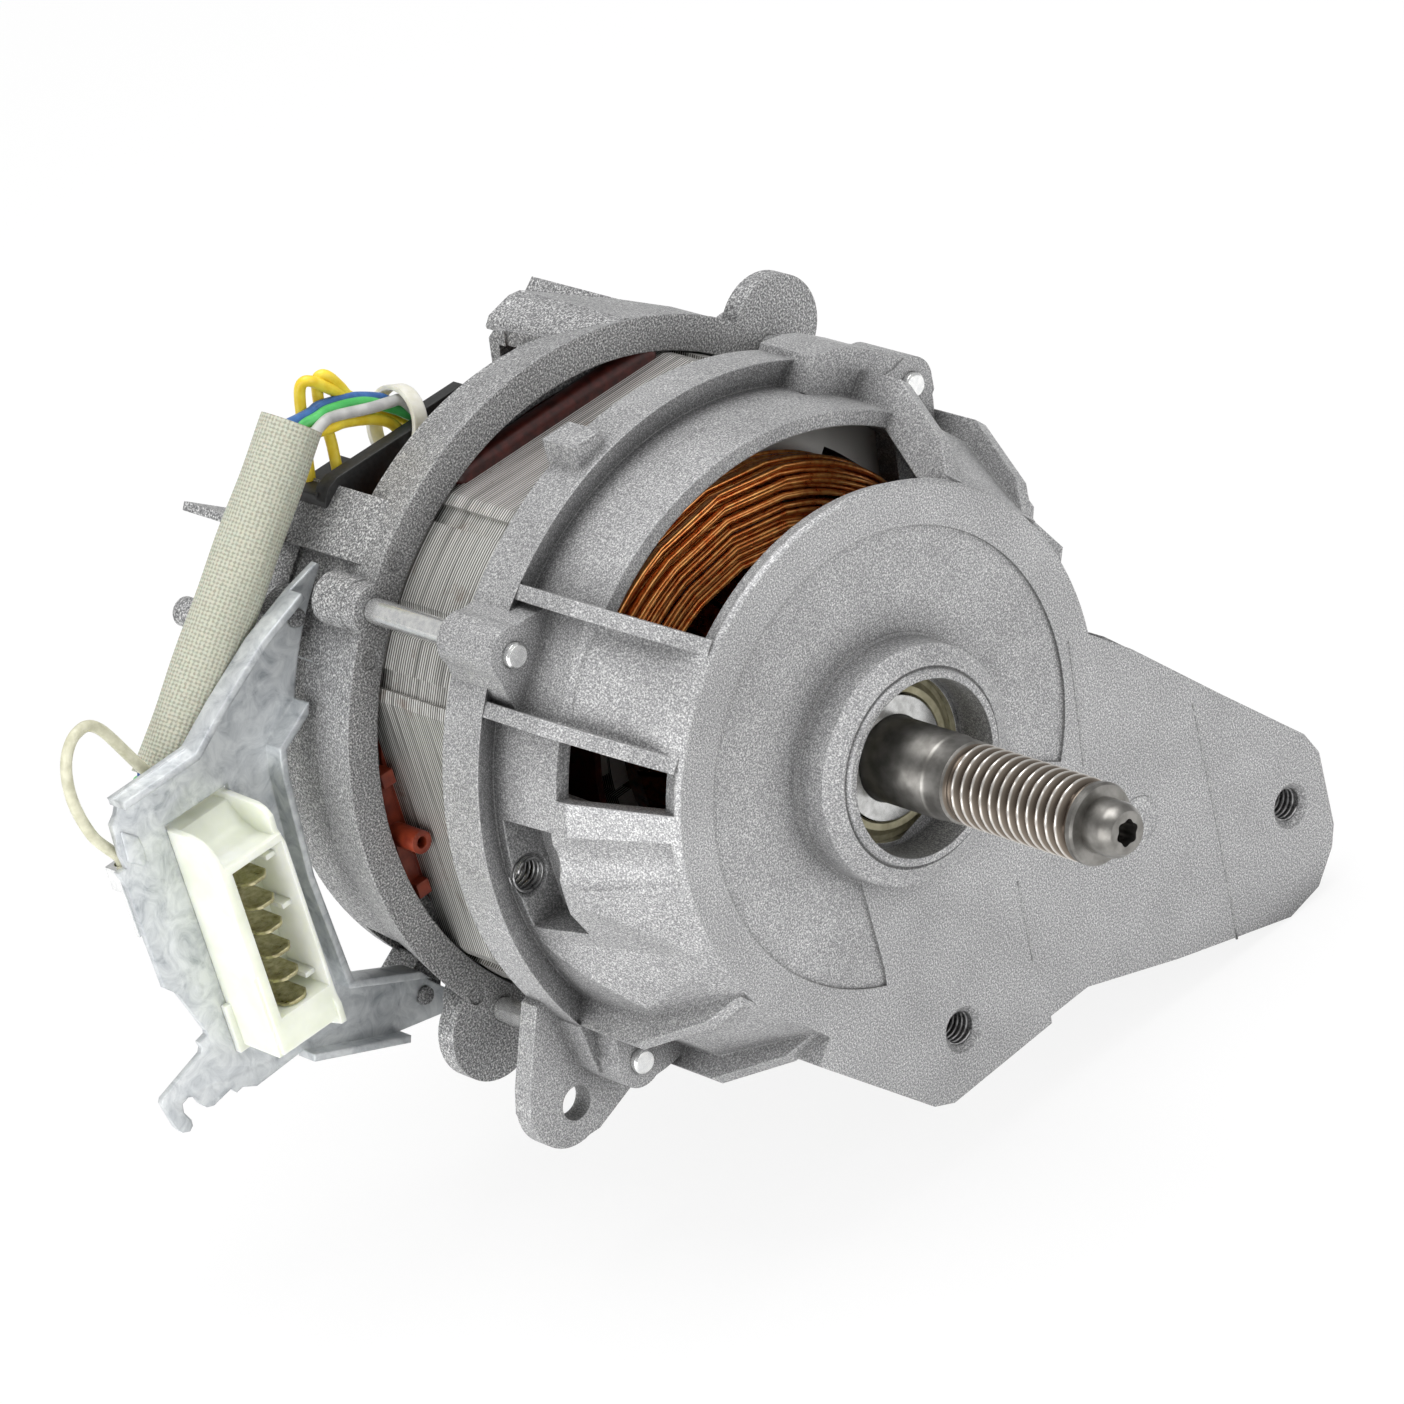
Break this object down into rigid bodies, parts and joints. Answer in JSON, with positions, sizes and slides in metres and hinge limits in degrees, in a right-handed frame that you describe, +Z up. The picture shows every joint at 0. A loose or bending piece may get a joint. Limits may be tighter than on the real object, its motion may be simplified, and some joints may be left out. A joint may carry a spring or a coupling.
{
  "type": "washing machine motor",
  "caption": "Universal washing machine motor with cast end shields, wound stator, brush gear and a six-way connector on a sheet bracket.",
  "frame": {"origin": "on the shaft axis in the plane of the front disc", "axes": "+X along the shaft towards the pulley end, +Y to the right seen from the front, +Z up"},
  "size_m": [0.201, 0.2208, 0.1677],
  "materials": {
    "front_end_shield": "shot-blasted die cast",
    "rear_end_shield": "shot-blasted die cast",
    "stator_core": "bare sheet or ground steel",
    "field_coil_upper": "satin",
    "field_coil_lower": "satin",
    "coil_former": "moulded",
    "slot_insulation": "moulded",
    "through_bolts": "bright zinc",
    "rotor_shaft": "bare sheet or ground steel",
    "armature_core": "bare sheet or ground steel",
    "armature_winding": "satin",
    "commutator": "satin",
    "fan": "moulded",
    "front_bearing_outer_ring": "bare sheet or ground steel",
    "front_bearing_inner_ring": "bare sheet or ground steel",
    "front_bearing_balls": "bare sheet or ground steel",
    "front_bearing_shields": "bare sheet or ground steel",
    "rear_bearing_outer_ring": "bare sheet or ground steel",
    "rear_bearing_inner_ring": "bare sheet or ground steel",
    "rear_bearing_balls": "bare sheet or ground steel",
    "wave_washer": "bare sheet or ground steel",
    "brush_carrier": "moulded",
    "brush_holder_left": "satin",
    "brush_holder_right": "satin",
    "carbon_brush_left": "dull",
    "carbon_brush_right": "dull",
    "brush_spring_left": "bare sheet or ground steel",
    "brush_spring_right": "bare sheet or ground steel",
    "tacho_magnet": "dull",
    "tacho_coil": "moulded",
    "tacho_cover": "moulded",
    "connector_bracket": "bare sheet or ground steel",
    "connector_housing": "translucent moulded",
    "blade_terminals": "satin",
    "harness_sleeve": "woven",
    "lead_yellow_a": "moulded",
    "lead_yellow_b": "moulded",
    "lead_yellow_c": "moulded",
    "lead_blue": "moulded",
    "lead_green": "moulded",
    "lead_grey": "moulded",
    "earth_lead": "moulded",
    "earth_crimp": "bare sheet or ground steel",
    "cable_tie": "moulded"
  },
  "bodies": {
    "motor_frame": {"front_end_shield": "front_end_shield", "rear_end_shield": "rear_end_shield", "stator_core": "stator_core", "field_coil_upper": "field_coil_upper", "field_coil_lower": "field_coil_lower", "coil_former": "coil_former", "slot_insulation": "slot_insulation", "through_bolts": "through_bolts", "front_bearing_outer_ring": "front_bearing_outer_ring", "front_bearing_shields": "front_bearing_shields", "rear_bearing_outer_ring": "rear_bearing_outer_ring", "wave_washer": "wave_washer", "brush_carrier": "brush_carrier", "brush_holder_left": "brush_holder_left", "brush_holder_right": "brush_holder_right", "brush_spring_left": "brush_spring_left", "brush_spring_right": "brush_spring_right", "tacho_coil": "tacho_coil", "tacho_cover": "tacho_cover", "connector_bracket": "connector_bracket", "connector_housing": "connector_housing", "blade_terminals": "blade_terminals", "harness_sleeve": "harness_sleeve", "lead_yellow_a": "lead_yellow_a", "lead_yellow_b": "lead_yellow_b", "lead_yellow_c": "lead_yellow_c", "lead_blue": "lead_blue", "lead_green": "lead_green", "lead_grey": "lead_grey", "earth_lead": "earth_lead", "earth_crimp": "earth_crimp", "cable_tie": "cable_tie"},
    "rotor": {"rotor_shaft": "rotor_shaft", "armature_core": "armature_core", "armature_winding": "armature_winding", "commutator": "commutator", "fan": "fan", "front_bearing_inner_ring": "front_bearing_inner_ring", "rear_bearing_inner_ring": "rear_bearing_inner_ring", "tacho_magnet": "tacho_magnet"},
    "front_ball_set": {"front_bearing_balls": "front_bearing_balls"},
    "rear_ball_set": {"rear_bearing_balls": "rear_bearing_balls"},
    "left_brush": {"carbon_brush_left": "carbon_brush_left"},
    "right_brush": {"carbon_brush_right": "carbon_brush_right"}
  },
  "joints": [
    {"name": "rotor_spin", "type": "hinge", "parent": "motor_frame", "child": "rotor", "pos_m": [0, 0, 0], "axis": [1, 0, 0], "continuous": true},
    {"name": "front_balls_spin", "type": "hinge", "parent": "motor_frame", "child": "front_ball_set", "pos_m": [0, 0, 0], "axis": [1, 0, 0], "continuous": true},
    {"name": "rear_balls_spin", "type": "hinge", "parent": "motor_frame", "child": "rear_ball_set", "pos_m": [0, 0, 0], "axis": [1, 0, 0], "continuous": true},
    {"name": "left_brush_slide", "type": "slide", "parent": "motor_frame", "child": "left_brush", "axis": [0, -1, 0], "range_m": [0, 0.006], "stiffness_N_per_m": 60, "deforming": ["brush_spring_left"]},
    {"name": "right_brush_slide", "type": "slide", "parent": "motor_frame", "child": "right_brush", "axis": [0, 1, 0], "range_m": [0, 0.006], "stiffness_N_per_m": 60, "deforming": ["brush_spring_right"]}
  ],
  "couplings": [
    {"joint": "front_balls_spin", "follows": "rotor_spin", "ratio": 0.3807},
    {"joint": "rear_balls_spin", "follows": "rotor_spin", "ratio": 0.384}
  ]
}
